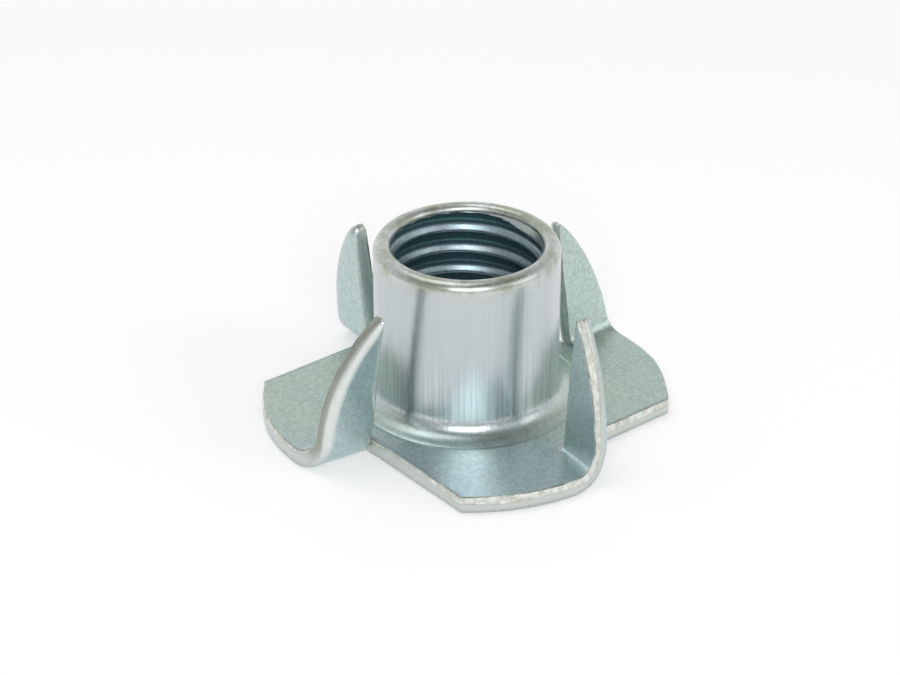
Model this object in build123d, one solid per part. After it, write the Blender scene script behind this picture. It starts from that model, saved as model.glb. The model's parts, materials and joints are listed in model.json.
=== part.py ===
"""Four-prong tee nut for wood, pressed from one piece of steel sheet.

Z is the thread axis, with the flange underside on z = 0 and the barrel and prongs standing up.
Each prong is a flap of the flange, parted from it by a straight slot and folded up beside the
barrel. Millimetres and degrees.
"""
import os
from build123d import *

# sheet
sheet_t = 1.4            # flange and prong thickness
edge_roll_r = 0.35       # sheared edge, rounded over on the underside of the sheet

# flange
flange_d = 30.0

# thread, drawn as a plain bore at its minor diameter
thread_d = 12.0
thread_h = 0.65          # from the thread's crests to its outer diameter
mouth_step = 0.25        # widening of the bore in the mouth, which the thread cuts into
mouth_depth = 0.7        # rim to the lower edge of the mouth
mouth_round_r = 0.5      # inner rounding of the rim
entry_r = 2.2            # rounded entry of the bore on the underside

# barrel
barrel_wall = 0.9        # from the thread's outer diameter to the outside
barrel_h = 14.0          # flange underside to rim
foot_r = 1.6             # fillet where the barrel rises from the flange
rim_flat = 0.05          # width left between the inner and outer rounding of the rim

# slots and prongs
prongs = 4
prong_turn = -50.0       # direction of the first fold line from +X
prong_top = 11.9         # flange underside to prong tip
outline_z = 0.4          # height where the prong outline starts to draw in from the flange edge
slot_gap = 3.35          # clearance from barrel wall to slot
slot_w = 0.28
fold_y = -1.1            # fold line, from the radius it runs along
fold_r = 1.2             # inside radius of the fold
fold_angle = 80.0

# derived sizes
flange_r = flange_d / 2
barrel_r = thread_d / 2 + barrel_wall
bore_r = thread_d / 2 - thread_h
mouth_r = bore_r + mouth_step
rim_r = barrel_r - mouth_r - mouth_round_r - rim_flat
slot_x = barrel_r + slot_gap
prong_x = slot_x + slot_w
fold_outer_r = fold_r + sheet_t

# turns about Z that put +X along each fold line
places = [Rot(0, 0, prong_turn + turn * 360 / prongs) for turn in range(prongs)]


def barrel():
    """Barrel with its foot ring, turned about Z."""
    hub_r = barrel_r + foot_r + sheet_t / 4
    mouth_z = barrel_h - mouth_depth
    with BuildSketch(Plane.XZ) as section:
        with BuildLine():
            Polyline((bore_r, 0), (hub_r, 0), (hub_r, sheet_t), (barrel_r, sheet_t),
                     (barrel_r, barrel_h), (mouth_r, barrel_h), (mouth_r, mouth_z),
                     (bore_r, mouth_z - mouth_r + bore_r), close=True)
        make_face()
        for corner, radius in (((bore_r, 0), entry_r), ((barrel_r, sheet_t), foot_r),
                               ((barrel_r, barrel_h), rim_r), ((mouth_r, barrel_h), mouth_round_r)):
            fillet(section.vertices().sort_by_distance((*corner, 0))[0], radius)
    return revolve(section.sketch, Axis.Z)


def plate():
    """Round flange less its flaps, each with the slot that parts it from the flange."""
    outline = Circle(flange_r)
    for place in places:
        flap = Pos(slot_x, fold_y) * Rectangle(flange_d, flange_d, align=Align.MIN)
        slot_end = Pos(slot_x + slot_w / 2, fold_y) * Circle(slot_w / 2)
        outline -= place * (flap + slot_end)
    return extrude(outline, sheet_t)


def strip():
    """Sheet that leaves the flange at the fold line, bends and runs straight on."""
    leg = 2 * prong_top
    centre = (fold_y, sheet_t + fold_r)
    with BuildSketch(Plane.YZ.offset(prong_x)) as section:
        with BuildLine():
            inner = CenterArc(centre, fold_r, -90, fold_angle)
            outer = CenterArc(centre, fold_outer_r, -90, fold_angle)
            inner_leg = Line(inner @ 1, inner @ 1 + (inner % 1) * leg)
            outer_leg = Line(outer @ 1, outer @ 1 + (outer % 1) * leg)
            Line(inner_leg @ 1, outer_leg @ 1)
            Line(inner @ 0, outer @ 0)
        make_face()
    return extrude(section.sketch, flange_d)


def envelope():
    """Solid turned about Z that trims the strips to the curved outline of the prongs."""
    with BuildSketch(Plane.XZ) as section:
        with BuildLine():
            Polyline((prong_x, prong_top), (0, prong_top), (0, 0), (flange_r, 0),
                     (flange_r, outline_z))
            TangentArc((flange_r, outline_z), (prong_x, prong_top), tangent=(0, 1))
        make_face()
    return revolve(section.sketch, Axis.Z)


def underside_outline(sheet):
    """Edges around the underside of the sheet, which is the outside of every fold."""
    faces = sheet.faces()
    under = [faces.sort_by(Axis.Z)[0]]
    under += [f for f in faces.filter_by(GeomType.CYLINDER) if abs(f.radius - fold_outer_r) < 1e-4]
    for place in places:
        outward = (place * Rot(X=fold_angle) * Pos(Z=-1)).position
        under += [f for f in faces.filter_by(GeomType.PLANE) if f.normal_at().dot(outward) > 0.9999]
    edges = [edge for face in under for edge in face.edges()]
    return [edge for edge in edges if edges.count(edge) == 1]


def tee_nut():
    sheet = plate()
    for place in places:
        sheet += place * strip()
    sheet &= envelope()
    sheet = fillet(underside_outline(sheet), edge_roll_r)
    sheet -= Cylinder(barrel_r + foot_r, prong_top, align=(Align.CENTER, Align.CENTER, Align.MIN))
    return sheet + barrel()


os.makedirs("parts", exist_ok=True)
export_step(tee_nut(), "parts/tee_nut.step")
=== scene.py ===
import json
import math

import bpy
import numpy as np
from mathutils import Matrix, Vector
from mathutils.geometry import delaunay_2d_cdt

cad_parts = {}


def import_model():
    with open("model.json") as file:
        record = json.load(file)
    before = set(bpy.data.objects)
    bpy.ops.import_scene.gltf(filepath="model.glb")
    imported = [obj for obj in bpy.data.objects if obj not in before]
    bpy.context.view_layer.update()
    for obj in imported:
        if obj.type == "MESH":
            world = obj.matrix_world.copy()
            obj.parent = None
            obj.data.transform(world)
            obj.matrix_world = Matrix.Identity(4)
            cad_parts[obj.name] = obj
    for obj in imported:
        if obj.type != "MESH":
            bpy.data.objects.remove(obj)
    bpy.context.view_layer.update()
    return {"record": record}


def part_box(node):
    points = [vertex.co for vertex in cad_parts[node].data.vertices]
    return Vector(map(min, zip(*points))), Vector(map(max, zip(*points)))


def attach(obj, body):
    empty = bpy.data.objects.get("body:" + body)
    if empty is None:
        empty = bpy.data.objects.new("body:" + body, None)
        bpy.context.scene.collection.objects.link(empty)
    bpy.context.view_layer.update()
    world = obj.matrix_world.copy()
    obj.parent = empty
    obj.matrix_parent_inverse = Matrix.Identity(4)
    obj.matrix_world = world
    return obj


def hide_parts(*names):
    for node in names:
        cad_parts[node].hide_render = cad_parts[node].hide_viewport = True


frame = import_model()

# Lengths are in millimetres up to the mesh, and angles in degrees, where nothing else is said.
MM = 0.001

# Sizes that the frame gives.
nut_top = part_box("tee_nut")[1]
mounts = {mount["name"]: mount for mount in frame["record"]["mounts"]}
FLANGE_R = round(nut_top.x / MM, 2)
BARREL_H = round(nut_top.z / MM, 2)
SHEET = round(mounts["seat"]["pos_m"][2] / MM, 2)
BORE_R = mounts["thread"]["dims"]["r_mm"]      # crests of the thread

# Other sizes of the solid.
BARREL_R = 6.9
FOOT_R = 1.6                 # fillet where the barrel rises from the flange
HUB_R = BARREL_R + FOOT_R
RIM_R = 0.75                 # outer rounding of the rim
MOUTH_R = 5.6
MOUTH_ROUND_R = 0.5          # inner rounding of the rim
ENTRY_R = 2.2                # rounded entry of the bore on the underside
PRONG_TURN = -50.0           # direction of the first fold line from +X
SLOT_W = 0.28

# Slots and outline of the flange.
SLOT_RUN = 0.35              # from a fold line to the end of its slot
SLOT_END_W = 0.08            # width of a slot at its end
SLOT_TAPER = 1.6             # length over which a slot narrows to its end
LOBE_CUT = 0.12              # cut of the flange's corner at a slot
LOBE_TURN, LOBE_EASE = -25, 20   # where the flange's outline changes to a prong's, and over what turn

# Sheared edge of the sheet, from the underside up.
ROLL_W, ROLL_H = 0.32, 0.22  # rollover, along the sheet and through it
FOLD_ROLL = 2.1              # how much larger the rollover is on the prongs
BREAK_Z = 0.76               # height of the line over which the steel tore
BREAK_PRONG = 0.06           # how much higher that line is on the prongs
BREAK_LEFT = 0.32            # how much higher it is on the left of the nut
LEFT_FROM, LEFT_RUN = 1, 2.5     # where that left begins, left of the axis, and its easing
BREAK_WAVE, BREAK_RAGGED = 0.1, 0.03     # long and short waves of the line
TORN_RISE, TORN_ROUGH = 0.02, 0.028      # roughness of the torn steel, upwards and inwards
TOP_INSET, TOP_INSET_W = 0.095, 0.35     # lean of the edge at the top, and the width that follows it
TOP_ROUND_W, TOP_ROUND_H = 0.08, 0.04    # rounding of the top face along the edge
TOP_RAGGED = 0.03            # raggedness of the top face's outline
TOP_WORN_W, TOP_LINE_W = 0.16, 0.06      # worn border of the top face, and the dark line in it
SLOT_FADE_R, SLOT_FADE_W = 0.5, 0.2      # reach of the top face's zone beside a slot, which takes painted shade, and its fading
TEAR_Y, TEAR_R = 0.1, 0.45   # pale torn spot past the end of a slot, and its radius

# Rows of the sheared edge up to the line and just over it: height as a share of the way from the
# rollover to the line, inset, roughness, share of torn steel, and whether it is dark.
LOWER_ROWS = ((0.5, 0.0, 0.0, 0.0, 0), (0.92, 0.004, 0.0, 0.0, 0), (1.0, 0.02, 0.005, 0.2, 1),
              (1.1, 0.035, 0.016, 1.0, 0))
# Rows of the torn steel: height as a share of the way from the line to the top, and inset.
UPPER_ROWS = ((0.3, 0.045), (0.6, 0.065), (0.85, 0.08))

# Folds and prongs.
BEND_RUN = 1.4               # length of a bend that eases in and out, to that of a round one
NEUTRAL = 0.42               # depth of the sheet's layer that keeps its length, as a share of it
CONE_RUN = 4                 # width over which a fold is tighter towards its slot
WIDEN_RUN = 2.7              # length over which a prong takes its own width
STEP_RUN = 3                 # length over which a prong steps sideways
FOLD_RUN = 3                 # from the fold line to where the sheet counts as a prong
RISE = 9.5                   # length of a prong over its fold, for its lean

# Foot and rim of the barrel.
DISH, DISH_RUN = 0.16, 1.1   # height by which the flange runs up to the foot, and over what length
FOOT_LINE, FOOT_LINE_W, FOOT_LINE_OUT = 0.08, 0.08, 0.05     # fine line around the foot
DENT, FINE_DENT, DENT_H = 0.035, 0.012, 0.6      # dents in the rim, long and short, and their reach
DRAWN_FROM, DRAWN_TO = 1.1, 0.7  # fading of the drawn look, over the flange and under the rim
WORN_H, WORN_FADE = 1.4, 0.8     # reach of the worn look under the rim, and its fading

# Thread and mouth.
PITCH = 1.75
THREAD_R = 6.0               # roots of the thread
THREAD_TOP = 12.1            # height of a crest at the back of the barrel
THREAD_LOW = 0.34            # height where the thread's surface starts, in the entry
MOUTH_FROM = BARREL_H - 1    # height where the bore starts to widen to the mouth
LIP_Z, LIP_FADE = BARREL_H - 0.54, 0.12  # height where the thread ends, and its fading
LIP_DIP, LIP_TURN, LIP_RUN = 0.6, 32, 28     # dip of that height, its direction and half its width
LIP_LIGHT = 0.1              # fading from the thread's colour to the mouth's
DARK_DEPTH, DARK_DEPTH_RUN = 0.36, 0.3   # where painted shade starts in a groove, as shares of its depth
DARK_Z, DARK_Z_RUN = 1.0, 0.9    # height from which the grooves get painted shade, and its fading
# Profile of the thread over one pitch: length from a crest, and depth.
THREAD_PROFILE = ((0.0, 0.0), (0.05, 0.01), (0.12, 0.05), (0.36, 0.2), (0.44, 0.28), (0.6, 0.6),
                  (0.68, 0.65), (1.2, 0.65), (1.3, 0.6), (1.6, 0.03), (1.7, 0.0), (PITCH, 0.0))

# Spacing of the mesh.
AROUND = 208                 # steps around the barrel
THREAD_STEPS = 24            # steps along one pitch
FOOT_STEPS, WALL_STEPS, RIM_STEPS, ENTRY_STEPS = 14, 26, 12, 10
EDGE_STEP = 0.13             # along the sheared edge
BEND_STEP, FLAP_STEP = 0.155, 0.4    # across a fold, and on the rest of a prong
BEND_ROWS = (-0.75, 2)       # fine rows of a flap: from its fold line, and up to
FLAP_ROWS = (2.15, 11)       # coarse rows of a flap: from and up to
FLAP_COLUMNS = (0.4, 15.3)   # columns of a flap: from its slot, and up to
GRID_STEP, GRID_ROW = 0.55, 0.866    # in the rest of the sheet, and of its rows as a share of that
GRID_REACH = (30, 35)        # columns and rows of that grid to each side
GRID_TO_FOLD, GRID_TO_HUB = 0.7, 0.65    # what the grid leaves clear
FILL_TO_EDGE = 0.6           # what grid and flaps leave clear along the outline
CORNER_POINTS = 4            # on a cut corner
BEND_STEPS = 200             # of the path of a bend
# Rows of points beside the outline and around the hub: distance, and every how many points.
EDGE_ROWS = ((0.04, 1), (0.1, 1), (0.17, 1), (0.25, 1), (0.35, 1), (0.5, 2), (0.7, 3))
HUB_ROWS = ((0.07, 1), (0.18, 1), (0.4, 2))
EDGE_TO_HUB, HUB_TO_EDGE = 0.14, 0.35    # what those rows leave clear of each other
OWN_SHARE = 0.985            # a row's point counts if it is at least this share of its distance away
CHUNK = 2000                 # points that are measured at a time
WELD = 2e-5                  # points as near as this are one

# Each prong as it stands in the photograph, from the front right one counterclockwise.
# slot is the distance of its slot from the axis, and fold its fold line, from the radius it runs
# along. radius and angle are the fold's inside radius and angle, and cone is how much smaller that
# radius is at the slot. lean and out say how far the tip leans past the fold and outwards, lift
# stretches the height, wide changes the width, and step shifts it sideways. tip is the share of the
# thickness left at the tip, and cut the reach of the cut corner there. outline is the radius of the
# prong's outline, and lobe that of the flange in front of it.
PRONGS = (
    dict(slot=10.97, fold=-1.45, radius=1.46, angle=86.2, cone=1.0, lean=0.42, out=-0.22, lift=1.12,
         wide=-0.116, step=0.0, tip=1.0, cut=0.5, outline=14.90, lobe=14.96),
    dict(slot=10.56, fold=-1.08, radius=1.32, angle=79.9, cone=0.4, lean=0.10, out=0.10, lift=1.05,
         wide=-0.05, step=0.0, tip=0.83, cut=0.8, outline=14.84, lobe=15.16),
    dict(slot=10.95, fold=-1.13, radius=0.83, angle=80.3, cone=0.2, lean=-0.48, out=0.42, lift=1.16,
         wide=0.145, step=-0.44, tip=0.84, cut=1.9, outline=14.70, lobe=15.0),
    dict(slot=10.17, fold=-1.12, radius=0.94, angle=83.9, cone=0.8, lean=0.83, out=0.32, lift=1.05,
         wide=-0.067, step=-0.61, tip=0.85, cut=0.3, outline=15.10, lobe=15.34),
)
FRONT_LEFT = 3               # the prong whose sheared edge is smoother than the others'


# Helpers for points
def smooth(t):
    """Eased step from 0 to 1, as t goes from 0 to 1."""
    t = np.clip(t, 0, 1)
    return t * t * (3 - 2 * t)


def turned(points, degrees):
    """Points turned counterclockwise about the axis."""
    points = np.asarray(points, float)
    x, y = points[..., 0], points[..., 1]
    cos, sin = math.cos(math.radians(degrees)), math.sin(math.radians(degrees))
    return np.stack([cos * x - sin * y, sin * x + cos * y], -1)


def to_prong(points, k):
    """Points in a prong's own frame, with x along its fold line and y along its flap."""
    return turned(points, -PRONG_TURN - 90 * k)


def from_prong(points, k):
    """Points of a prong's own frame in the frame of the nut."""
    return turned(points, PRONG_TURN + 90 * k)


def circle(radius):
    """Points around the axis, where the barrel has its steps."""
    a = np.arange(AROUND) / AROUND * math.tau
    return radius * np.stack([np.cos(a), np.sin(a)], -1)


def line(start, end):
    """Points along a line, up to its end and without it."""
    count = max(2, int(round(math.dist(start, end) / EDGE_STEP)))
    t = np.linspace(0, 1, count, endpoint=False)[:, None]
    return np.array(start) * (1 - t) + np.array(end) * t


def arc(centre, radius, degrees):
    """Points of an arc at the given angles."""
    a = np.radians(degrees)
    return np.stack([centre[0] + radius * np.cos(a), centre[1] + radius * np.sin(a)], -1)


def smooth_noise(count, width, rng):
    """Closed random line of count values, smoothed over width values, from about -1 to 1."""
    raw = rng.normal(size=count)
    kernel = np.exp(-0.5 * (np.arange(-3 * width, 3 * width + 1) / width) ** 2)
    padded = np.concatenate([raw[-3 * width:], raw, raw[:3 * width]])
    values = np.convolve(padded, kernel / kernel.sum(), "valid")
    return np.clip(values / values.std() / 2, -1.2, 1.2)


# Flat blank
def flange_arc(prong, start, end):
    """Outer arc of the flange in front of a prong, and on to the prong's own outline."""
    count = int(round(FLANGE_R * math.radians(end - start) / EDGE_STEP))
    degrees = np.linspace(start, end, count, endpoint=False)
    own = smooth((degrees - LOBE_TURN) / LOBE_EASE)
    return arc((0, 0), prong["lobe"] + (prong["outline"] - prong["lobe"]) * own, degrees)


def cut_corner(points, corner, reach):
    """Sampled outline with one corner replaced by a small curve."""
    away = np.linalg.norm(points - corner, axis=1)
    points = np.roll(points, len(points) // 2 - int(away.argmin()), axis=0)
    near = np.linalg.norm(points - corner, axis=1) < reach
    first = last = len(points) // 2
    while near[first]:
        first -= 1
    while near[last]:
        last += 1
    t = np.linspace(0, 1, CORNER_POINTS + 2)[1:-1, None]
    curve = (1 - t) ** 2 * points[first] + 2 * t * (1 - t) * np.array(corner) + t ** 2 * points[last]
    return np.concatenate([points[:first + 1], curve, points[last:]])


def outline():
    """Outer outline of the blank, counterclockwise, with its four slots."""
    quarters, corners = [], []
    for k, prong in enumerate(PRONGS):
        before, after = PRONGS[k - 1], PRONGS[(k + 1) % len(PRONGS)]
        slot, side, end_r = prong["slot"], prong["slot"] - SLOT_W, SLOT_END_W / 2
        middle = slot - SLOT_W / 2
        slot_end = prong["fold"] + prong["cone"] + SLOT_RUN
        start = math.degrees(math.acos((before["slot"] - SLOT_W) / prong["lobe"])) - 90
        end = math.degrees(math.acos(slot / prong["outline"]))
        tip = (slot, math.sqrt(prong["outline"] ** 2 - slot ** 2))
        lobe = (side, math.sqrt(after["lobe"] ** 2 - side ** 2))
        quarter = np.concatenate([
            flange_arc(prong, start, end),
            line(tip, (slot, slot_end + SLOT_TAPER)),
            line((slot, slot_end + SLOT_TAPER), (middle + end_r, slot_end)),
            arc((middle, slot_end), end_r, (0, -45, -90, -135)),
            line((middle - end_r, slot_end), (side, slot_end + SLOT_TAPER)),
            line((side, slot_end + SLOT_TAPER), lobe),
        ])
        quarters.append(from_prong(quarter, k))
        corners.append((from_prong(tip, k), prong["cut"]))
        corners.append((from_prong(lobe, k), LOBE_CUT))
    whole = np.concatenate(quarters)
    for corner, reach in corners:
        whole = cut_corner(whole, corner, reach)
    return whole


def to_outline(points, loop):
    """Distance of points from the outline, and the unit direction away from it."""
    side = np.roll(loop, -1, axis=0) - loop
    length2 = (side ** 2).sum(1)
    away, direction = np.empty(len(points)), np.empty((len(points), 2))
    for low in range(0, len(points), CHUNK):
        some = points[low:low + CHUNK, None, :]
        t = np.clip(((some - loop) * side).sum(2) / length2, 0, 1)
        off = some - (loop + t[..., None] * side)
        off2 = (off ** 2).sum(2)
        near = off2.argmin(1)
        row = np.arange(len(near))
        away[low:low + CHUNK] = np.sqrt(off2[row, near])
        direction[low:low + CHUNK] = off[row, near] / np.maximum(away[low:low + CHUNK, None], 1e-9)
    return away, direction


def inside(points, loop):
    """Whether points lie within the outline: a ray from there crosses it an odd number of times."""
    from_x, from_y = loop.T
    to_x, to_y = np.roll(loop, -1, axis=0).T
    rise = np.where(to_y == from_y, 1, to_y - from_y)
    result = np.zeros(len(points), bool)
    for low in range(0, len(points), CHUNK):
        x, y = points[low:low + CHUNK, 0:1], points[low:low + CHUNK, 1:2]
        crossed = (from_y > y) != (to_y > y)
        cross_x = from_x + (y - from_y) / rise * (to_x - from_x)
        result[low:low + CHUNK] = (crossed & (x < cross_x)).sum(1) % 2 == 1
    return result


def inward(loop):
    """Unit normals of the outline's points, towards the metal."""
    edge = np.roll(loop, -1, axis=0) - loop
    left = np.stack([-edge[:, 1], edge[:, 0]], -1)
    left /= np.linalg.norm(left, axis=1)[:, None]
    both = left + np.roll(left, 1, axis=0)
    return both / np.linalg.norm(both, axis=1)[:, None]


def border_points(loop, normals):
    """Rows of points beside the outline and around the hub."""
    rows = []
    for distance, every in EDGE_ROWS:
        row = (loop + normals * distance)[::every]
        away, _ = to_outline(row, loop)
        clear = np.hypot(*row.T) > HUB_R + EDGE_TO_HUB
        rows.append(row[(away > OWN_SHARE * distance) & clear])
    for distance, every in HUB_ROWS:
        row = circle(HUB_R + distance)[::every]
        away, _ = to_outline(row, loop)
        rows.append(row[away > HUB_TO_EDGE])
    return rows


def fill_points(loop):
    """Points in the rest of the sheet: a grid on the flange, and rows along the folds on the flaps."""
    column, row = np.meshgrid(*(np.arange(-reach, reach + 1) for reach in GRID_REACH))
    grid_x, grid_y = (column + 0.5 * (row % 2)) * GRID_STEP, row * GRID_STEP * GRID_ROW
    grid = np.stack([grid_x, grid_y], -1).reshape(-1, 2)
    on_flap = np.zeros(len(grid), bool)
    flaps = []
    for k, prong in enumerate(PRONGS):
        local = to_prong(grid, k)
        past_slot = local[:, 0] > prong["slot"] - SLOT_W / 2
        on_flap |= past_slot & (local[:, 1] > prong["fold"] - GRID_TO_FOLD)
        across = np.concatenate([np.arange(prong["fold"] + BEND_ROWS[0], BEND_ROWS[1], BEND_STEP),
                                 np.arange(*FLAP_ROWS, FLAP_STEP)])
        outwards = np.arange(prong["slot"] + FLAP_COLUMNS[0], FLAP_COLUMNS[1], FLAP_STEP)
        flap = np.meshgrid(outwards, across)
        flaps.append(from_prong(np.stack(flap, -1).reshape(-1, 2), k))
    grid = grid[~on_flap & (np.hypot(*grid.T) > HUB_R + GRID_TO_HUB)]
    fill = np.concatenate([grid, *flaps])
    away, _ = to_outline(fill, loop)
    return fill[(away > FILL_TO_EDGE) & inside(fill, loop)]


def ring_edges(first, count):
    """Edges of a ring of points, as pairs of point numbers."""
    return [(first + i, first + (i + 1) % count) for i in range(count)]


def blank():
    """Flat blank: its points, those of the outline first, its triangles, and the outline's normals."""
    loop = outline()
    normals = inward(loop)
    points = np.concatenate([loop, circle(HUB_R), *border_points(loop, normals), fill_points(loop)])
    edges = ring_edges(0, len(loop)) + ring_edges(len(loop), AROUND)
    found = delaunay_2d_cdt([Vector(p) for p in points], edges, [], 0, 1e-6)
    xy = np.array([v[:] for v in found[0]])
    triangles = np.array([list(face) for face in found[2]])
    centre = xy[triangles].mean(1)
    in_hub = np.hypot(*centre.T) <= HUB_R * math.cos(math.pi / AROUND) - 1e-4
    return xy, triangles[inside(centre, loop) & ~in_hub], normals


# Shares of the sheet's zones
def from_slot(local, prong):
    """How far points of a prong's own frame are from the middle of its slot, to the prong's side."""
    return local[:, 0] - prong["slot"] + SLOT_W / 2


def on_slot(xy):
    """1 for the points of the outline on the side of a prong that faces its slot."""
    reach = 0.6 * SLOT_W
    result = np.zeros(len(xy), bool)
    for k, prong in enumerate(PRONGS):
        local = to_prong(xy, k)
        off = from_slot(local, prong)
        result |= (off > -SLOT_END_W / 4) & (off < reach) & (local[:, 1] > prong["fold"])
    return result.astype(float)


def by_slot(xy):
    """Three shares: 1 beside the slots, fading away from them; the same on the flange's side only,
    for painted shade; and 1 past their ends, fading outwards."""
    share, border, tear = np.zeros((3, len(xy)))
    for k, prong in enumerate(PRONGS):
        local = to_prong(xy, k)
        off = from_slot(local, prong)
        near = np.clip((SLOT_FADE_R - np.abs(off)) / SLOT_FADE_W, 0, 1) * (local[:, 1] > prong["fold"])
        share = np.maximum(share, near)
        border = np.maximum(border, near * (off < 0))
        past_end = local[:, 1] - prong["fold"] - prong["cone"] - SLOT_RUN
        tear = np.maximum(tear, np.exp(-(off ** 2 + (past_end - TEAR_Y) ** 2) / TEAR_R ** 2))
    return share, border, tear


def past_fold(xy, k):
    """0 on the flange, rising to 1 over the fold of one prong."""
    prong, local = PRONGS[k], to_prong(xy, k)
    past_slot = local[:, 0] > prong["slot"] - SLOT_W / 2
    return past_slot * smooth((local[:, 1] - prong["fold"]) / FOLD_RUN)


def foot_line(radius):
    """Depth of the fine line around the foot of the barrel."""
    return FOOT_LINE * np.exp(-((radius - HUB_R - FOOT_LINE_OUT) / FOOT_LINE_W) ** 2)


def dish(radius):
    """Height that the flange gains towards the foot of the barrel."""
    return DISH * np.exp(-(radius - HUB_R) / DISH_RUN)


# Folding
def bend(angle):
    """Path of unit length that turns by an angle in radians, easing in and out: steps, run and rise."""
    t = np.linspace(0, 1, BEND_STEPS + 1)
    at = angle * smooth((t[1:] + t[:-1]) / 2)
    run, rise = (np.concatenate([[0], np.cumsum(f(at))]) / BEND_STEPS for f in (np.cos, np.sin))
    return t, run, rise


def folded(xy, z):
    """Places of points of the flat sheet, z above its underside, once the prongs are folded up."""
    result = np.concatenate([xy, z[:, None]], 1)
    for k, prong in enumerate(PRONGS):
        local = to_prong(xy, k)
        angle = math.radians(prong["angle"])
        steps, run, climb = bend(angle)
        tight = prong["cone"] * (1 - np.clip((local[:, 0] - prong["slot"]) / CONE_RUN, 0, 1))
        neutral_r = prong["radius"] - tight + NEUTRAL * SHEET
        length = BEND_RUN * neutral_r * angle
        start = prong["fold"] + tight + neutral_r * math.tan(angle / 2)
        start -= length * climb[-1] / math.sin(angle)
        on = (local[:, 0] > prong["slot"] - SLOT_W / 2) & (local[:, 1] > start)
        x, length, start, depth = local[on, 0], length[on], start[on], SHEET - z[on]
        along = local[on, 1] - start
        part = np.minimum(along / length, 1)
        tilt = angle * smooth(part)
        over = np.maximum(along - length, 0) * prong["lift"]
        rise = over / RISE
        off = NEUTRAL * SHEET - depth * (1 - (1 - prong["tip"]) * np.clip(rise, 0, 1))
        far = start + length * np.interp(part, steps, run) - off * np.sin(tilt)
        far += over * math.cos(angle) + prong["lean"] * rise ** 2
        up = (1 - NEUTRAL) * SHEET + length * np.interp(part, steps, climb) + off * np.cos(tilt)
        up += over * math.sin(angle)
        widened = prong["wide"] * (x - prong["slot"]) * np.clip(along / WIDEN_RUN, 0, 1)
        x = x + prong["out"] * rise ** 1.3 + widened + prong["step"] * smooth(along / STEP_RUN)
        result[on, :2] = from_prong(np.stack([x, far], -1), k)
        result[on, 2] = up
    return result


# Mesh
class Builder:
    """Collects vertices with their zone values, and faces, and makes the object."""
    # shear is the sheared edge, fracture its torn steel, line the dark line where it tore, and slot
    # the part of it inside a slot, which has painted shade. olive is the duller edge of the front left
    # prong; next come a painted highlight on its pale rollover, and painted shade on the flange's
    # rollover and on its top face beside a slot. barrel, rim and thread are the drawn outside, the worn
    # rim and the bore, with painted shade, then more painted shade in the grooves, and under the
    # underside.
    zones = ("shear", "fracture", "line", "slot", "olive", "band", "hem", "border", "barrel", "rim",
             "thread", "valley", "under")

    def __init__(self):
        self.points, self.values, self.faces, self.count = [], [], [], 0

    def add(self, points, **zone):
        """Adds vertices with the given zone values, and returns their numbers."""
        points = np.asarray(points, float).reshape(-1, 3)
        row = np.zeros((len(points), len(self.zones)))
        for name, value in zone.items():
            row[:, self.zones.index(name)] = value
        self.points.append(points)
        self.values.append(row)
        start = self.count
        self.count += len(points)
        return np.arange(start, self.count)

    def face(self, *corners):
        """Adds faces, from one array of vertex numbers for each of their corners."""
        self.faces.append(np.stack([np.asarray(c).ravel() for c in corners], -1))

    def grid(self, index, closed=True):
        """Quads over a grid of vertex numbers, rows by columns, columns closed into a ring."""
        right = np.roll(index, -1, axis=1) if closed else index[:, 1:]
        left = index if closed else index[:, :-1]
        self.face(left[:-1], right[:-1], right[1:], left[1:])

    def object(self, name):
        """Object in metres, with vertices in the same place joined and a layer for each zone."""
        points = np.concatenate(self.points)
        values = np.concatenate(self.values)
        rounded = np.round(points / WELD).astype(np.int64)
        _, first, joined = np.unique(rounded, axis=0, return_index=True, return_inverse=True)
        joined = joined.ravel()
        faces = []
        for face in (corners for block in self.faces for corners in joined[block].tolist()):
            corners = list(dict.fromkeys(face))
            if len(corners) > 2:
                faces.append(corners)
        mesh = bpy.data.meshes.new(name)
        mesh.from_pydata((points[first] * MM).tolist(), [], faces)
        mesh.validate()
        for i, zone in enumerate(self.zones):
            layer = mesh.attributes.new(zone, "FLOAT", "POINT")
            layer.data.foreach_set("value", values[first, i].astype(np.float32))
        made = bpy.data.objects.new(name, mesh)
        bpy.context.scene.collection.objects.link(made)
        return made


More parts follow.
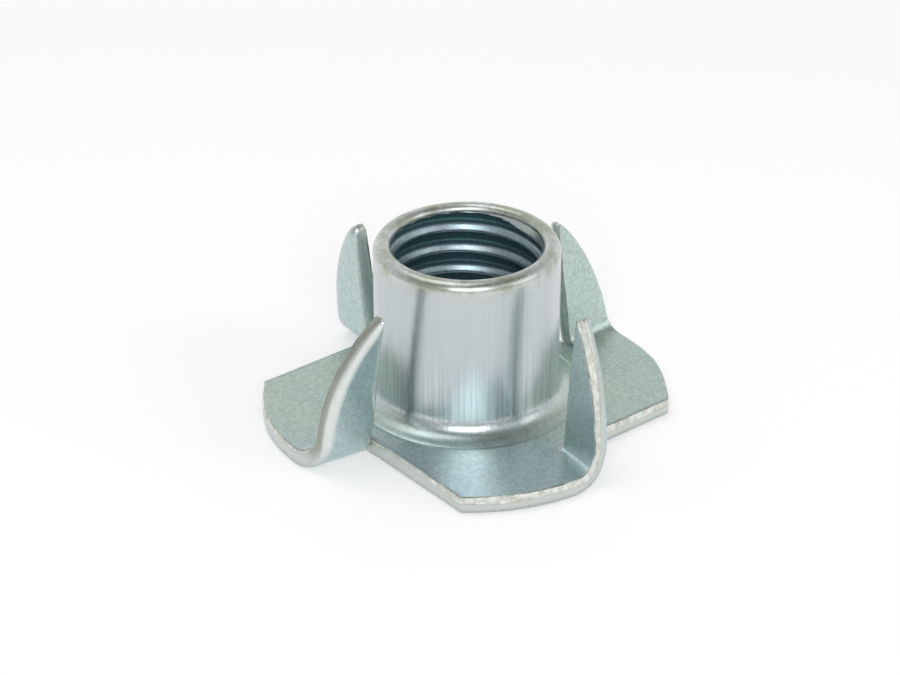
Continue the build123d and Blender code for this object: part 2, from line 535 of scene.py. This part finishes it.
# Sheet
def add_sheet(b):
    """Flange and prongs: two faces over the same triangles, joined by the sheared edge."""
    rng = np.random.default_rng(7)
    xy, triangles, normals = blank()
    count = len(normals)
    loop = xy[:count]
    away, inwards = to_outline(xy, loop)
    away[:count] = 0
    inwards[:count] = normals
    on_prongs = np.max([past_fold(xy, k) for k in range(len(PRONGS))], axis=0)
    on_left = past_fold(xy, FRONT_LEFT)
    beside, border, tear = by_slot(xy)

    lean = TOP_INSET * np.clip(1 - away / TOP_INSET_W, 0, 1) * (1 - 0.8 * beside)
    ragged = np.zeros(len(xy))
    ragged[:count] = TOP_RAGGED * smooth_noise(count, 2, rng)
    radius = np.hypot(*xy.T)
    rounded = TOP_ROUND_H * np.clip(1 - away / TOP_ROUND_W, 0, 1) ** 2
    top_z = SHEET - rounded - foot_line(radius) + dish(radius)
    worn = np.clip(1 - away / TOP_WORN_W, 0, 1)
    # Top face, with painted shade beside the slots on the flange's side.
    top = b.add(folded(xy + inwards * (lean + ragged)[:, None], top_z), shear=0.5 * worn,
                fracture=np.maximum(0.3 * worn, 0.6 * tear), border=border,
                line=np.clip(1 - away / TOP_LINE_W, 0, 1))

    size = 1 + (FOLD_ROLL - 1) * on_prongs
    roll = np.clip(1 - away / (ROLL_W * size), 0, 1)
    under_z = ROLL_H * size * (1 - np.sqrt(1 - roll ** 2))
    # Underside, with painted shade on the flange's rollover and a painted highlight on the front left
    # prong's.
    under = b.add(folded(xy, under_z), under=1, shear=0.5 * roll ** 0.5 * (1 - on_left),
                  fracture=tear, band=on_left * np.clip(roll * 3, 0, 1),
                  hem=roll ** 0.7 * (1 - on_prongs))

    b.face(*top[triangles].T)
    b.face(*under[triangles[:, (0, 2, 1)]].T)
    rows = edge_rows(b, loop, normals, ROLL_H * size[:count], on_prongs[:count], on_left[:count], rng)
    b.grid(np.array([under[:count], *rows, top[:count]]))


def edge_rows(b, loop, normals, roll_z, on_prongs, on_left, rng):
    """Vertex rows of the sheared edge: smooth steel up to a ragged line, and torn steel over it."""
    count = len(loop)
    to_left = smooth((-loop[:, 0] - LEFT_FROM) / LEFT_RUN)
    break_z = BREAK_Z + BREAK_PRONG * on_prongs + BREAK_LEFT * to_left
    waves = BREAK_WAVE * smooth_noise(count, 9, rng) * (1 - 0.7 * to_left)
    break_z += waves + BREAK_RAGGED * smooth_noise(count, 2, rng)
    # 1 on the edge inside a slot, which takes painted shade and less torn steel.
    slot = on_slot(loop)
    torn = (1 - 0.7 * slot) * (1 - 0.8 * on_left)
    rows = []

    def add_row(z, inset, **zone):
        places = folded(loop + normals * inset[:, None], z)
        rows.append(b.add(places, shear=1, slot=slot, olive=on_left, **zone))

    for share, inset, rough, fracture, dark in LOWER_ROWS:
        z = roll_z + (break_z - roll_z) * share
        add_row(z, inset + rough * smooth_noise(count, 1, rng), fracture=fracture * torn,
                line=dark * (0.25 + 0.75 * on_left))
    for share, inset in UPPER_ROWS:
        z = break_z + (SHEET - TOP_ROUND_H - break_z) * share + TORN_RISE * smooth_noise(count, 1, rng)
        add_row(z, inset + TORN_ROUGH * smooth_noise(count, 1, rng), fracture=torn)
    return rows


# Barrel
def lathe(profile):
    """Points of an r, z profile turned about the axis, rows by columns."""
    a = np.arange(AROUND) / AROUND * math.tau
    r, z = profile[:, 0:1], profile[:, 1:2]
    return np.stack([r * np.cos(a), r * np.sin(a), z + 0 * a], -1)


def add_barrel(b):
    """Outside of the barrel, from the flange over the rim to the mouth."""
    foot_z, shoulder_z, lip_z = SHEET + FOOT_R, BARREL_H - RIM_R, BARREL_H - MOUTH_ROUND_R
    wall_z = np.linspace(foot_z, shoulder_z, WALL_STEPS)[1:-1]
    profile = np.concatenate([
        arc((HUB_R, foot_z), FOOT_R, np.linspace(-90, -180, FOOT_STEPS)),
        np.stack([np.full(len(wall_z), BARREL_R), wall_z], -1),
        arc((BARREL_R - RIM_R, shoulder_z), RIM_R, np.linspace(0, 90, RIM_STEPS)),
        arc((MOUTH_R + MOUTH_ROUND_R, lip_z), MOUTH_ROUND_R, np.linspace(90, 180, RIM_STEPS)),
    ])
    points = lathe(profile)
    z = profile[:, 1]
    points[0, :, 2] -= foot_line(HUB_R)
    points[:, :, 2] += DISH * np.clip(1 - (z - SHEET) / FOOT_R, 0, 1)[:, None] ** 2
    rng = np.random.default_rng(3)
    dent = DENT * smooth_noise(AROUND, 7, rng) + FINE_DENT * smooth_noise(AROUND, 2, rng)
    by_rim = np.clip((z - BARREL_H + DENT_H) / DENT_H, 0, 1)
    points[:, :, 2] += by_rim[:, None] * np.minimum(dent, 0)[None, :]
    drawn = np.clip((z - SHEET) / DRAWN_FROM, 0, 1) * np.clip((BARREL_H - z) / DRAWN_TO, 0, 1)
    worn = np.clip((z - (BARREL_H - WORN_H)) / WORN_FADE, 0, 1)
    b.grid(np.array([b.add(row, barrel=drawn[i], rim=worn[i]) for i, row in enumerate(points)]))


# Thread
def thread_radius(phase):
    """Radius of the thread's profile at a phase of 0 to 1 along the pitch, with a crest at 0."""
    along, depth = zip(*THREAD_PROFILE)
    return BORE_R + np.interp(phase % 1.0 * PITCH, along, depth)


def entry_radius(z):
    """Radius of the rounded entry at a height above the underside."""
    below = ENTRY_R - np.minimum(z, ENTRY_R)
    return BORE_R + ENTRY_R - np.sqrt(np.maximum(ENTRY_R ** 2 - below ** 2, 0))


def add_thread(b):
    """Helical thread between the entry on the underside and the mouth, and the entry below it."""
    low, high = THREAD_LOW, BARREL_H - MOUTH_ROUND_R
    turn = np.arange(AROUND + 1) / AROUND
    row_count = int(math.ceil(THREAD_STEPS * ((high - low) / PITCH + 1))) + 1
    row = np.arange(row_count)[:, None] / THREAD_STEPS
    start_z = low - PITCH
    z = np.clip(start_z + PITCH * (row + turn[None, :]), low, high)
    # The thread climbs a quarter of its pitch from +X to the back.
    crest_z = THREAD_TOP - PITCH / 4
    phase = (start_z - crest_z) / PITCH + row + 0 * turn[None, :]
    mouth = BORE_R + (MOUTH_R - BORE_R) * np.clip((z - MOUTH_FROM) / (high - MOUTH_FROM), 0, 1)
    lip_z = LIP_Z - LIP_DIP * np.exp(-((turn * 360 - LIP_TURN) / LIP_RUN) ** 2)
    cut = np.clip((lip_z - z) / LIP_FADE, 0, 1)
    r = np.maximum(mouth + np.maximum(thread_radius(phase) - mouth, 0) * cut, entry_radius(z))
    a = turn[None, :] * math.tau
    points = np.stack([r * np.cos(a), r * np.sin(a), z], -1)
    depth = np.clip((r - BORE_R) / (THREAD_R - BORE_R), 0, 1)
    on_lip = np.clip((z - lip_z) / LIP_LIGHT, 0, 1)
    # Painted shade in the deep part of each groove, from a height above the entry, and none on the lip.
    dark = smooth((depth - DARK_DEPTH) / DARK_DEPTH_RUN) * smooth((z - DARK_Z) / DARK_Z_RUN)
    dark = dark * (1 - on_lip)
    index = b.add(points, thread=1 - on_lip.ravel(), barrel=0.8 * on_lip.ravel(), valley=dark.ravel())
    b.grid(index.reshape(z.shape)[::-1], closed=False)
    start = 180 + math.degrees(math.asin(1 - low / ENTRY_R))
    profile = np.concatenate([
        arc((BORE_R + ENTRY_R, ENTRY_R), ENTRY_R, np.linspace(start, 270, ENTRY_STEPS)),
        [(HUB_R, 0)],
    ])
    b.grid(np.array([b.add(row, under=1) for row in lathe(profile)]))


# Material
def node(tree, kind, inputs=None, **settings):
    """Makes a node with settings, and links or sets its inputs, given by name or number."""
    made = tree.nodes.new(kind)
    for key, value in settings.items():
        setattr(made, key, value)
    for key, value in (inputs or {}).items():
        socket = made.inputs[key]
        if isinstance(value, bpy.types.NodeSocket):
            tree.links.new(value, socket)
        else:
            socket.default_value = value
    return made


def empty_tree(owner):
    """Node tree of a material or world, without the nodes that it starts with."""
    owner.use_nodes = True
    owner.node_tree.nodes.clear()
    return owner.node_tree


class Shades:
    """Short names for the nodes of one material."""

    def __init__(self, tree):
        self.tree = tree
        self.coords = node(tree, "ShaderNodeTexCoord").outputs["Object"]
        upright = {"Vector": self.coords, "Scale": (1, 1, 0.02)}
        self.drawn = node(tree, "ShaderNodeMapping", upright).outputs[0]
        _, self.y, self.z = node(tree, "ShaderNodeSeparateXYZ", {0: self.coords}).outputs

    def zone(self, name):
        """Value of one of the mesh's zones."""
        return node(self.tree, "ShaderNodeAttribute", attribute_name=name).outputs["Fac"]

    def math(self, operation, a, b):
        return node(self.tree, "ShaderNodeMath", {0: a, 1: b}, operation=operation).outputs[0]

    def plus(self, a, b):
        return self.math("ADD", a, b)

    def times(self, a, b):
        return self.math("MULTIPLY", a, b)

    def mix(self, share, a, b, blend="MIX"):
        """Colour a, with a share of colour b."""
        inputs = {0: share, 6: a, 7: b}
        return node(self.tree, "ShaderNodeMix", inputs, data_type="RGBA", blend_type=blend).outputs[2]

    def between(self, share, a, b):
        """Number a, with a share of number b."""
        return node(self.tree, "ShaderNodeMix", {0: share, 2: a, 3: b}).outputs[0]

    def ranged(self, value, low, high, to_low, to_high):
        """Value with the range from low to high taken to another one, and clamped to it."""
        inputs = {"Value": value, "From Min": low, "From Max": high, "To Min": to_low, "To Max": to_high}
        return node(self.tree, "ShaderNodeMapRange", inputs).outputs[0]

    def noise(self, scale, detail=3.0, rough=0.5, vector=None):
        """Noise over the object, or over another vector."""
        inputs = {"Vector": vector or self.coords, "Scale": scale, "Detail": detail, "Roughness": rough}
        return node(self.tree, "ShaderNodeTexNoise", inputs).outputs["Fac"]


def zinc():
    """Blue zinc on pressed steel, with its drawn barrel, worn rim, sheared edges, and painted shade in
    the thread.
    """
    material = bpy.data.materials.new("zinc_plated_steel")
    tree = empty_tree(material)
    s = Shades(tree)
    zone = {name: s.zone(name) for name in Builder.zones}

    # Noise patterns, from large to small.
    patches = s.noise(170, 2.0)
    blotch = s.noise(1100, 4.0, 0.6)
    mottle = s.noise(3300, 2.0)
    speck = s.noise(8000, 2.0, 0.6)
    broad_streak = s.noise(950, 2.0, 0.5, s.drawn)
    streak = s.noise(5200, 3.0, 0.6, s.drawn)
    drawn = s.times(zone["barrel"], s.ranged(s.z, 8.5 * MM, 4 * MM, 0.15, 1.1))
    smoother = s.math("MAXIMUM", zone["shear"], zone["band"])
    flat = s.math("SUBTRACT", 1.0, s.math("MAXIMUM", zone["barrel"], s.times(smoother, 0.75)))

    # Colours that change from place to place.
    rubbed = s.ranged(s.noise(520, 3.0, 0.6), 0.4, 0.6, 0, 1)
    worn = s.mix(rubbed, (0.44, 0.465, 0.375, 1), (0.63, 0.65, 0.635, 1))
    grit = s.ranged(s.noise(1900, 3.0, 0.7), 0.38, 0.62, 0, 1)
    torn = s.mix(grit, (0.60, 0.61, 0.54, 1), (0.97, 0.97, 0.93, 1))
    crumbly = s.ranged(s.noise(330, 2.0), 0.38, 0.6, 0.6, 1)
    broken = s.ranged(s.noise(700, 2.0), 0.35, 0.6, 0.2, 0.95)

    # Layers of colour, from the bottom up: where, how much of it, and its colour.
    colour = s.mix(s.ranged(patches, 0.35, 0.65, 0, 1), (0.49, 0.62, 0.575, 1), (0.53, 0.64, 0.56, 1))
    layers = (
        # bluer towards the front of the nut: painted reflection of the barrel in the flange
        (s.ranged(s.y, -11 * MM, -5 * MM, 1, 0), 1, (0.47, 0.58, 0.61, 1)),
        (s.ranged(blotch, 0.35, 0.7, 0, 1), 0.4, (0.57, 0.67, 0.66, 1)),
        (zone["barrel"], 0.9, (0.555, 0.60, 0.62, 1)),
        (zone["under"], 0.7, (0.51, 0.63, 0.645, 1)),
        # the bore's colour, darker than the outside's as painted shade
        (zone["thread"], 1, (0.36, 0.465, 0.515, 1)),
        # painted shade in the grooves
        (zone["valley"], 0.92, (0.06, 0.15, 0.175, 1)),
        (zone["rim"], 0.85, worn),
        # painted shade along the flange's rollover
        (zone["hem"], 0.75, (0.33, 0.34, 0.37, 1)),
        # painted shade on the flange's top face beside a slot
        (zone["border"], 0.5, (0.31, 0.41, 0.46, 1)),
        # painted highlight on the front left prong's pale rollover
        (zone["band"], 1, (0.74, 0.79, 0.76, 1)),
        (zone["shear"], 0.85, (0.64, 0.67, 0.635, 1)),
        (zone["olive"], 0.9, (0.335, 0.36, 0.305, 1)),
        # painted shade on the edge inside a slot
        (zone["slot"], 0.8, (0.33, 0.44, 0.42, 1)),
        (zone["fracture"], crumbly, torn),
        (zone["line"], broken, (0.10, 0.115, 0.075, 1)),
    )
    for where, share, tone in layers:
        colour = s.mix(s.times(where, share), colour, tone)

    # Fine light and dark, which multiplies the colour.
    grain = s.times(s.math("SUBTRACT", speck, 0.5), flat)
    shade = s.plus(1.0, s.times(grain, 0.7))
    shade = s.plus(shade, s.times(s.ranged(mottle, 0.3, 0.7, -0.11, 0.11), flat))
    shade = s.plus(shade, s.times(s.ranged(streak, 0.3, 0.7, -0.2, 0.2), drawn))
    grey = node(tree, "ShaderNodeCombineColor", {0: shade, 1: shade, 2: shade}).outputs[0]
    colour = s.mix(1.0, colour, grey, "MULTIPLY")

    rough = s.between(zone["barrel"], s.ranged(blotch, 0.3, 0.7, 0.34, 0.44),
                      s.ranged(broad_streak, 0.3, 0.7, 0.23, 0.32))
    rough = s.plus(s.between(zone["valley"], rough, 0.62), s.times(grain, 0.2))

    # Relief: each pattern and its height in millimetres.
    height = 0.0
    for pattern, relief in ((speck, 0.0035), (s.times(streak, drawn), 0.014), (blotch, 0.012),
                            (s.times(s.noise(9000, 3.0, 0.7), zone["fracture"]), 0.05)):
        height = s.plus(height, s.times(pattern, relief * MM))
    bump = node(tree, "ShaderNodeBump", {"Height": height, "Strength": 1.0, "Distance": 1.0}).outputs[0]

    inputs = {"Base Color": colour, "Metallic": 1.0, "Roughness": rough, "Normal": bump}
    shader = node(tree, "ShaderNodeBsdfPrincipled", inputs).outputs[0]
    node(tree, "ShaderNodeOutputMaterial", {"Surface": shader})
    return material


# Nut
SHARP = 50                   # edges that turn by more than this stay sharp
builder = Builder()
add_sheet(builder)
add_barrel(builder)
add_thread(builder)
nut = builder.object("tee_nut_metal")
nut.data.shade_smooth()
nut.data.set_sharp_from_angle(angle=math.radians(SHARP))
nut.data.materials.append(zinc())
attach(nut, "root")
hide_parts("tee_nut")


# Studio, in metres
FLOOR_REACH = 3.0
FLOOR_DROP = 0.00002         # floor under the nut's underside
FLOOR_GREY = 0.82
FLOOR_GLOW = 0.31            # what the floor adds where it is seen
# Light of the sky: height from the horizon at 0 to straight above at 1, and level.
SKY = ((0.0, 0.95), (0.3, 0.95), (0.52, 0.85), (0.68, 0.6), (0.82, 0.33), (1.0, 0.14))
SKY_RED = 0.97               # red, as a share of green and blue, which dims the light but doesn't tint it
SKY_FRONT = 0.6              # level of the front of the sky, as a share of the back's

# The photograph's camera.
FOCAL_PX, WIDTH_PX = 2754.0, 900.0
SENSOR_MM = 36.0
CAMERA_DISTANCE = 0.2045     # from CAMERA_PIVOT, a height on the axis
CAMERA_PIVOT = 0.00682
CAMERA_UP = 29.5
CAMERA_AIM = (-0.001248, 0, 0.005864)


def place(name, data, at, aim=None):
    """Object in the scene, turned to look at a point if there is one."""
    made = bpy.data.objects.new(name, data)
    made.location = at
    if aim is not None:
        made.rotation_mode = "QUATERNION"
        made.rotation_quaternion = (Vector(aim) - Vector(at)).to_track_quat("-Z", "Y")
    bpy.context.scene.collection.objects.link(made)
    return made


def showing(tree):
    """1 for camera, glossy and transmission rays, and 0 for the light that falls on surfaces."""
    rays = node(tree, "ShaderNodeLightPath").outputs
    seen = node(tree, "ShaderNodeMath", {0: rays["Is Camera Ray"], 1: rays["Is Glossy Ray"]})
    inputs = {0: seen.outputs[0], 1: rays["Is Transmission Ray"]}
    return node(tree, "ShaderNodeMath", inputs, use_clamp=True).outputs[0]


def floor():
    """Plain white paper, which keeps the shadow of the nut."""
    s = FLOOR_REACH
    mesh = bpy.data.meshes.new("floor")
    mesh.from_pydata([(-s, -s, 0), (s, -s, 0), (s, s, 0), (-s, s, 0)], [], [(0, 1, 2, 3)])
    material = bpy.data.materials.new("floor_paper")
    tree = empty_tree(material)
    diffuse = node(tree, "ShaderNodeBsdfDiffuse", {"Color": (FLOOR_GREY, FLOOR_GREY, FLOOR_GREY, 1)})
    level = node(tree, "ShaderNodeMath", {0: showing(tree), 1: FLOOR_GLOW}, operation="MULTIPLY")
    glow = node(tree, "ShaderNodeEmission", {"Color": (1, 1, 1, 1), "Strength": level.outputs[0]})
    both = node(tree, "ShaderNodeAddShader", {0: diffuse.outputs[0], 1: glow.outputs[0]})
    node(tree, "ShaderNodeOutputMaterial", {"Surface": both.outputs[0]})
    mesh.materials.append(material)
    place("floor", mesh, (0, 0, -FLOOR_DROP))


def world():
    """Soft white light from all around, less from straight above and from the front."""
    sky = bpy.data.worlds.new("studio")
    tree = empty_tree(sky)
    coords = node(tree, "ShaderNodeTexCoord").outputs["Generated"]
    _, back, up = node(tree, "ShaderNodeSeparateXYZ", {0: coords}).outputs
    ramp = node(tree, "ShaderNodeValToRGB", {0: up})
    for i, (height, level) in enumerate(SKY):
        stop = ramp.color_ramp.elements[i] if i < 2 else ramp.color_ramp.elements.new(height)
        stop.position = height
        stop.color = (level * SKY_RED, level, level, 1)
    inputs = {"Value": back, "From Min": -0.1, "From Max": 0.6, "To Min": SKY_FRONT, "To Max": 1.0}
    side = node(tree, "ShaderNodeMapRange", inputs).outputs[0]
    inputs = {0: ramp.outputs[0], 1: side}
    soft = node(tree, "ShaderNodeMath", inputs, operation="MULTIPLY").outputs[0]
    light = node(tree, "ShaderNodeBackground", {"Color": (1, 1, 1, 1), "Strength": soft})
    node(tree, "ShaderNodeOutputWorld", {"Surface": light.outputs[0]})
    bpy.context.scene.world = sky


def softbox(name, at, size, power):
    """Rectangular lamp that looks at the nut."""
    data = bpy.data.lights.new(name, "AREA")
    data.shape = "RECTANGLE"
    data.size, data.size_y = size
    data.energy = power
    place(name, data, at, (0, 0, 0))


def camera():
    """Camera at the photograph's viewing angle."""
    data = bpy.data.cameras.new("camera")
    data.sensor_width = SENSOR_MM
    data.lens = FOCAL_PX * data.sensor_width / WIDTH_PX
    data.clip_start, data.clip_end = 0.01, 10.0
    up = math.radians(CAMERA_UP)
    at = (0, -math.cos(up) * CAMERA_DISTANCE, math.sin(up) * CAMERA_DISTANCE + CAMERA_PIVOT)
    bpy.context.scene.camera = place("camera", data, at, CAMERA_AIM)


floor()
world()
softbox("key", (0.02, -0.375, 0.27), (0.3, 0.2), 0.74)
softbox("top", (-0.1, 0.06, 0.42), (0.25, 0.25), 0.42)
softbox("side", (0.38, -0.12, 0.22), (0.25, 0.25), 0.22)
camera()
bpy.context.scene.view_settings.view_transform = "Standard"
